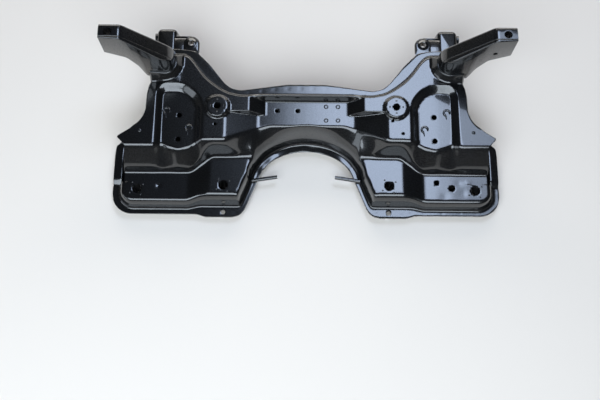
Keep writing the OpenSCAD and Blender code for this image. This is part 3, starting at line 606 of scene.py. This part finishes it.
def hornHalf(name, side, rearHalf):
    bm = bmesh.new()
    sections = list(hornSections(side, rearHalf))
    ring = [bm.verts.new(p) for p in sections[0]]
    n = len(ring)
    bm.faces.new(ring)
    edges = [bm.edges.get((ring[k], ring[(k + 1) % n])) for k in range(n)]
    for section in sections[1:]:
        made = bmesh.ops.extrude_edge_only(bm, edges=edges)["geom"]
        fresh = {g for g in made if isinstance(g, bmesh.types.BMVert)}
        ring = [next(e.other_vert(v) for e in v.link_edges if e.other_vert(v) in fresh) for v in ring]
        for v, p in zip(ring, section):
            v.co = p
        edges = [bm.edges.get((ring[k], ring[(k + 1) % n])) for k in range(n)]
    bm.faces.new(ring)
    bmesh.ops.recalc_face_normals(bm, faces=bm.faces[:])
    return toObject(bm, name)


for side, word in ((-1, "left"), (1, "right")):
    back = hornHalf(word + "_horn_rear_half", side, True)
    if side > 0:
        drillPiece(back, horn["vent"], (0, 1, 0), horn["ventR"], horn["ventLength"])
    smoothByAngle(back, horn["sharp"])
    finishPiece(back, [word + "_horn_rear"], glossCoat)
    ahead = hornHalf(word + "_horn_front_half", side, False)
    boltX, boltY, boltZ = horn["bolt"]
    drillPiece(ahead, (side * boltX, boltY, boltZ), (0, 0, 1), horn["boltR"], horn["boltLength"])
    smoothByAngle(ahead, horn["sharp"])
    finishPiece(ahead, [word + "_horn_front", word + "_horn_sleeve"], glossCoat)
print("stage: horns")

# Front brackets: hood shaped ears with soft edges, open below and behind
ear = {"x": 302, "w": 42, "h": 38, "rear": 139, "front": 199, "top": 106.8, "edge": 8, "corner": 10,
       "draft": 6, "sharp": 35}


def earPiece(name, side):
    bm = bmesh.new()
    bmesh.ops.create_cube(bm, size=1.0)
    for v in bm.verts:
        flared = ear["draft"] if v.co.z < 0 and v.co.x * side < 0 else 0
        v.co = (side * (ear["x"] - flared) + v.co.x * ear["w"],
                mix(ear["rear"], ear["front"], v.co.y + 0.5), ear["top"] - ear["h"] * (0.5 - v.co.z))
    bm.normal_update()
    drop = [f for f in bm.faces if f.normal.z < -0.5 or f.normal.y < -0.5]
    bmesh.ops.delete(bm, geom=drop, context="FACES_ONLY")
    bmesh.ops.delete(bm, geom=[e for e in bm.edges if not e.link_faces], context="EDGES")
    upright = [e for e in bm.edges if len(e.link_faces) == 2
               and abs(e.verts[0].co.z - e.verts[1].co.z) > 10]
    bmesh.ops.bevel(bm, geom=upright, offset=ear["corner"], offset_type="OFFSET", affect="EDGES",
                    segments=6, profile=0.5, material=-1)
    bm.normal_update()
    crown = [e for e in bm.edges if len(e.link_faces) == 2
             and sum(f.normal.z > 0.9 for f in e.link_faces) == 1]
    bmesh.ops.bevel(bm, geom=crown, offset=ear["edge"], offset_type="OFFSET", affect="EDGES",
                    segments=6, profile=0.5, material=-1)
    obj = toObject(bm, name)
    thicken(obj, s["sheet"], 0, 0)
    smoothByAngle(obj, ear["sharp"])
    return obj


# Lugs: a rounded tab with a rolled edge, a raised seat round the hole, a web and a strap to the ear
lug = {"x": 249, "y": 163, "w": 36, "rear": 138.5, "top": 106.8, "bore": 6.0,
       "rings": [(7.2, 1.9), (9.0, 1.5), (11.5, 0.2), (13.0, 0.0)],
       "roll": [(3.6, 0.0), (2.2, -0.5), (1.0, -1.7), (0.2, -3.4), (0.0, -5.5)],
       "strap": (268, 180, 98.5), "strapSize": (38, 3, 11), "web": (276, 157, 104.4),
       "webSize": (34, 37, 2.5), "barEdge": 0.6, "collar": 15, "lip": 1.2, "straightFrom": -0.75,
       "sharp": 40}


def grownRing(bm, edges, middle, place):
    # Carries a rim on to new spots, given for each angle round the middle
    made = bmesh.ops.extrude_edge_only(bm, edges=edges)["geom"]
    verts = {g for g in made if isinstance(g, bmesh.types.BMVert)}
    for v in verts:
        v.co = middle + Vector(place(math.atan2(v.co.y - middle.y, v.co.x - middle.x)))
    return [g for g in made if isinstance(g, bmesh.types.BMEdge) and all(v in verts for v in g.verts)]


def tabReach(t, inset):
    half, back = lug["w"] / 2 - inset, lug["y"] - lug["rear"] - inset * 0.4
    c, w = math.cos(t), math.sin(t)
    return half if w >= 0 else min(half / max(abs(c), 1e-6), back / -w)


def lugPiece(name, side):
    middle = Vector((side * lug["x"], lug["y"], lug["top"]))
    bm = bmesh.new()
    bmesh.ops.create_circle(bm, segments=64, radius=lug["bore"],
                            matrix=Matrix.Translation(middle + Vector((0, 0, lug["lip"]))))
    edges = bm.edges[:]
    grownRing(bm, edges, middle, lambda t: (
        lug["bore"] * math.cos(t), lug["bore"] * math.sin(t), -lug["collar"]))
    for r, z in lug["rings"]:
        edges = grownRing(bm, edges, middle, lambda t: (r * math.cos(t), r * math.sin(t), z))
    for inset, z in lug["roll"]:
        edges = grownRing(bm, edges, middle, lambda t: (
            tabReach(t, inset) * math.cos(t), tabReach(t, inset) * math.sin(t),
            z if math.sin(t) > lug["straightFrom"] else 0))
    bm.normal_update()
    bmesh.ops.recalc_face_normals(bm, faces=bm.faces[:])
    if max(bm.faces, key=lambda f: f.calc_area() * abs(f.normal.z)).normal.z < 0:
        bmesh.ops.reverse_faces(bm, faces=bm.faces[:])
    obj = toObject(bm, name)
    thicken(obj, s["sheet"], 0, 0)
    bm = bmesh.new()
    bm.from_mesh(obj.data)
    for spot, size in ((lug["strap"], lug["strapSize"]), (lug["web"], lug["webSize"])):
        cube = bmesh.ops.create_cube(bm, size=mm)["verts"]
        bmesh.ops.scale(bm, vec=size, verts=cube)
        bmesh.ops.translate(bm, vec=Vector((side * spot[0], spot[1], spot[2])) * mm, verts=cube)
        bmesh.ops.bevel(bm, geom=list({e for v in cube for e in v.link_edges}), offset=lug["barEdge"] * mm,
                        offset_type="OFFSET", affect="EDGES", segments=2, profile=0.5, material=-1)
    bm.to_mesh(obj.data)
    bm.free()
    smoothByAngle(obj, lug["sharp"])
    return obj


for side, word in ((-1, "left"), (1, "right")):
    finishPiece(earPiece(word + "_ear_hood", side), [word + "_front_bracket"], glossCoat)
    finishPiece(lugPiece(word + "_lug_tab", side), [word + "_lug"], glossCoat)
print("stage: brackets")

# Weld marks: beads round the horn feet, hooked plug welds, lanced rings and small projections
welds = {"bead": 2.6, "hook": 6.4, "hookTube": 2.5, "hooks": [(294, 8), (246.5, -30)],
         "hookArc": (0.2, 1.3 * math.pi), "hookTails": [(0, -4, 0), (2, -9, 0)], "hookLift": 0.3,
         "beadOut": 0.6, "beadLift": 0.5, "beadTails": [(0, 12, 0), (30, 2.2, 0)], "taper": 0.5,
         "plug": (346, -39.5), "plugSize": (4.0, 4.0, 1.2),
         "lances": [(41, 23), (66, 23), (41, -8), (66, -8)], "lance": (3.7, 1.35),
         "bossDots": 13.6, "bossDot": (1.5, 2.4, 0.9),
         "boltDots": 16.5, "boltDot": (1.9, 1.9, 0.9), "boltTurn": 0.6, "sharp": 60}


def upperSpot(x, y):
    z = upperZ(np.array([x, x + 1.0, x]), np.array([y, y, y + 1.0]))
    return Vector((x, y, float(z[0]))), Vector((float(z[0] - z[1]), float(z[0] - z[2]), 1)).normalized()


def addDome(bm, x, y, size, turn=0.0):
    at, up = upperSpot(x, y)
    verts = bmesh.ops.create_uvsphere(bm, u_segments=14, v_segments=8, radius=1.0)["verts"]
    bmesh.ops.scale(bm, vec=size, verts=verts)
    bmesh.ops.rotate(bm, cent=(0, 0, 0), matrix=Matrix.Rotation(turn, 3, "Z"), verts=verts)
    lean = Vector((0, 0, 1)).rotation_difference(up).to_matrix()
    bmesh.ops.rotate(bm, cent=(0, 0, 0), matrix=lean, verts=verts)
    bmesh.ops.translate(bm, vec=at, verts=verts)


def addArc(bm, center, radius, tube, start, sweep):
    # A round section spun about an upright axis; returns its two open ends
    spot = Matrix.Translation(center) @ Matrix.Rotation(start, 4, "Z") @ Matrix.Translation((radius, 0, 0))
    verts = bmesh.ops.create_circle(bm, segments=10, radius=tube,
                                    matrix=spot @ Matrix.Rotation(math.pi / 2, 4, "X"))["verts"]
    edges = list({e for v in verts for e in v.link_edges})
    full = math.isclose(abs(sweep), 2 * math.pi)
    last = bmesh.ops.spin(bm, geom=verts + edges, cent=center, axis=(0, 0, 1), angle=sweep, steps=18,
                          use_merge=full)["geom_last"]
    return [] if full else [edges, [g for g in last if isinstance(g, bmesh.types.BMEdge)]]


def drawOut(bm, edges, shift, shrink):
    # Carries an open end on in a straight line and closes it
    made = bmesh.ops.extrude_edge_only(bm, edges=edges)["geom"]
    verts = [g for g in made if isinstance(g, bmesh.types.BMVert)]
    middle = sum((v.co for v in verts), Vector()) / len(verts)
    bmesh.ops.scale(bm, vec=(shrink,) * 3, space=Matrix.Translation(-middle), verts=verts)
    bmesh.ops.translate(bm, vec=shift, verts=verts)
    rim = [g for g in made if isinstance(g, bmesh.types.BMEdge) and all(v in verts for v in g.verts)]
    bmesh.ops.edgeloop_fill(bm, edges=rim)


marks = bmesh.new()
for side in (-1, 1):
    foot = Vector((side * (horn["foot"] + horn["round"]), horn["rearRoot"] + horn["round"],
                   horn["footZ"] + welds["beadLift"]))
    ends = addArc(marks, foot, horn["round"] + welds["beadOut"], welds["bead"],
                  math.pi if side > 0 else 0, side * math.pi / 2)
    for end, (dx, dy, dz) in zip(ends, welds["beadTails"]):
        drawOut(marks, end, (side * dx, dy, dz), welds["taper"])
    for hx, hy in welds["hooks"]:
        at = upperSpot(side * hx, hy)[0] + Vector((0, 0, welds["hookLift"]))
        ends = addArc(marks, at, welds["hook"], welds["hookTube"], *welds["hookArc"])
        for end, shift in zip(ends, welds["hookTails"]):
            drawOut(marks, end, shift, welds["taper"])
    plugX, plugY = welds["plug"]
    addDome(marks, side * plugX, plugY, welds["plugSize"])
    for k in range(4):
        t = math.pi / 2 * k
        addDome(marks, side * s["bossX"] + welds["bossDots"] * math.cos(t),
                s["bossY"] + welds["bossDots"] * math.sin(t), welds["bossDot"], t)
        t += welds["boltTurn"]
        for bx, by, _ in bolts[1:3]:
            addDome(marks, side * bx + welds["boltDots"] * math.cos(t),
                    by + welds["boltDots"] * math.sin(t), welds["boltDot"])
for lx, ly in welds["lances"]:
    addArc(marks, upperSpot(lx, ly)[0], *welds["lance"], 0, 2 * math.pi)
bmesh.ops.remove_doubles(marks, verts=marks.verts[:], dist=0.001)
bmesh.ops.recalc_face_normals(marks, faces=marks.faces[:])
weldMarks = toObject(marks, "weld_marks")
smoothByAngle(weldMarks, welds["sharp"])
finishPiece(weldMarks, [], weldCoat)
print("stage: weld marks")

# The sleeves, nuts, rods and braces stay as they are and take a coat
for name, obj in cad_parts.items():
    if not obj.hide_render:
        obj.data.materials.clear()
        obj.data.materials.append(glossCoat if "hanger" in name else satinCoat)

# Plain pale floor of slightly warm paper
floor = {"half": 6.0, "color": "#E2DAD1", "rough": 0.9}
bm = bmesh.new()
bmesh.ops.create_grid(bm, x_segments=1, y_segments=1, size=floor["half"] / mm)
floorObject = toObject(bm, "studio_floor")
floorMaterial = bpy.data.materials.new("pale_paper_floor")
floorMaterial.use_nodes = True
paper = floorMaterial.node_tree.nodes["Principled BSDF"]
paper.inputs["Base Color"].default_value = linear(floor["color"])
paper.inputs["Roughness"].default_value = floor["rough"]
paper.inputs["Specular IOR Level"].default_value = 0.0
floorObject.data.materials.append(floorMaterial)

# Soft studio panels, in metres: a cool one ahead and to the right in strips that fade at its ends, a
# wide white one behind, a smaller one behind to the left and a warmer one ahead
cool = {"color": (0.63, 0.76, 1.0), "glow": 8.8, "ahead": 1.2, "up": 3.0, "depth": 1.3,
        # Middle, width and share of the glow
        "strips": [(-0.19, 0.06, 0.06), (-0.13, 0.06, 0.2), (-0.07, 0.06, 0.4), (-0.01, 0.06, 0.6),
                   (0.05, 0.06, 0.78), (0.11, 0.06, 0.92), (0.465, 0.65, 1.0), (0.83, 0.08, 0.75),
                   (1.03, 0.32, 0.5)]}
white = (0.8, 0.9, 1.0)
panels = [{"name": "cool_panel_%02d" % k, "at": (x, cool["ahead"], cool["up"]), "aim": (x, cool["ahead"], 0),
           "size": (w, cool["depth"]), "color": cool["color"], "glow": cool["glow"] * share}
          for k, (x, w, share) in enumerate(cool["strips"])]
panels += [
    {"name": "rear_panel", "at": (-0.3, -1.48, 1.78), "aim": (-0.1, 0, 0.1), "size": (2.4, 1.66),
     "color": white, "glow": 5.5},
    {"name": "rear_left_panel", "at": (-2.15, -1.2, 0.8), "aim": (-0.2, 0, 0.1), "size": (1.5, 0.9),
     "color": white, "glow": 2.4},
    {"name": "front_panel", "at": (0.0, 2.3, 1.5), "aim": (0, 0, 0.1), "size": (2.4, 0.9),
     "color": (1.0, 0.97, 0.92), "glow": 4.8},
]
for panel in panels:
    data = bpy.data.lights.new(panel["name"], "AREA")
    data.shape = "RECTANGLE"
    data.size, data.size_y = panel["size"]
    data.color = panel["color"]
    data.energy = panel["glow"] * math.pi * panel["size"][0] * panel["size"][1]
    obj = bpy.data.objects.new(panel["name"], data)
    obj.location = panel["at"]
    direction = Vector(panel["aim"]) - Vector(panel["at"])
    obj.rotation_euler = direction.to_track_quat("-Z", "Y").to_euler()
    bpy.context.scene.collection.objects.link(obj)

# The room beyond the floor is dim
room = {"horizon": 0.1, "overhead": 0.03, "low": 0.05, "high": 0.4}
world = bpy.data.worlds.new("studio")
bpy.context.scene.world = world
world.use_nodes = True
tree = world.node_tree
sky = tree.nodes["Background"]
sky.inputs["Color"].default_value = (1, 1, 1, 1)
around = addNode(tree, "ShaderNodeTexCoord").outputs["Generated"]
height = addNode(tree, "ShaderNodeSeparateXYZ", [(around, "Vector")]).outputs["Z"]
fade = addNode(tree, "ShaderNodeMapRange", [(height, "Value")])
for socket, value in (("From Min", room["low"]), ("From Max", room["high"]),
                      ("To Min", room["horizon"]), ("To Max", room["overhead"])):
    fade.inputs[socket].default_value = value
tree.links.new(fade.outputs["Result"], sky.inputs["Strength"])

# Camera at the photo's angle: behind and above, tilted forward and rolled half a degree
view = {"at": (-12.4, -680, 1720), "tilt": 17.0, "roll": 0.5, "lens": 50, "sensor": 36}
cameraData = bpy.data.cameras.new("camera")
cameraData.lens = view["lens"]
cameraData.sensor_width = view["sensor"]
cameraData.sensor_fit = "HORIZONTAL"
camera = bpy.data.objects.new("camera", cameraData)
camera.matrix_world = (Matrix.Translation(Vector(view["at"]) * mm)
                       @ Matrix.Rotation(math.radians(view["tilt"]), 4, "X")
                       @ Matrix.Rotation(math.radians(view["roll"]), 4, "Z"))
bpy.context.scene.collection.objects.link(camera)
bpy.context.scene.camera = camera
bpy.context.scene.view_settings.view_transform = "Standard"
print("stage: studio")
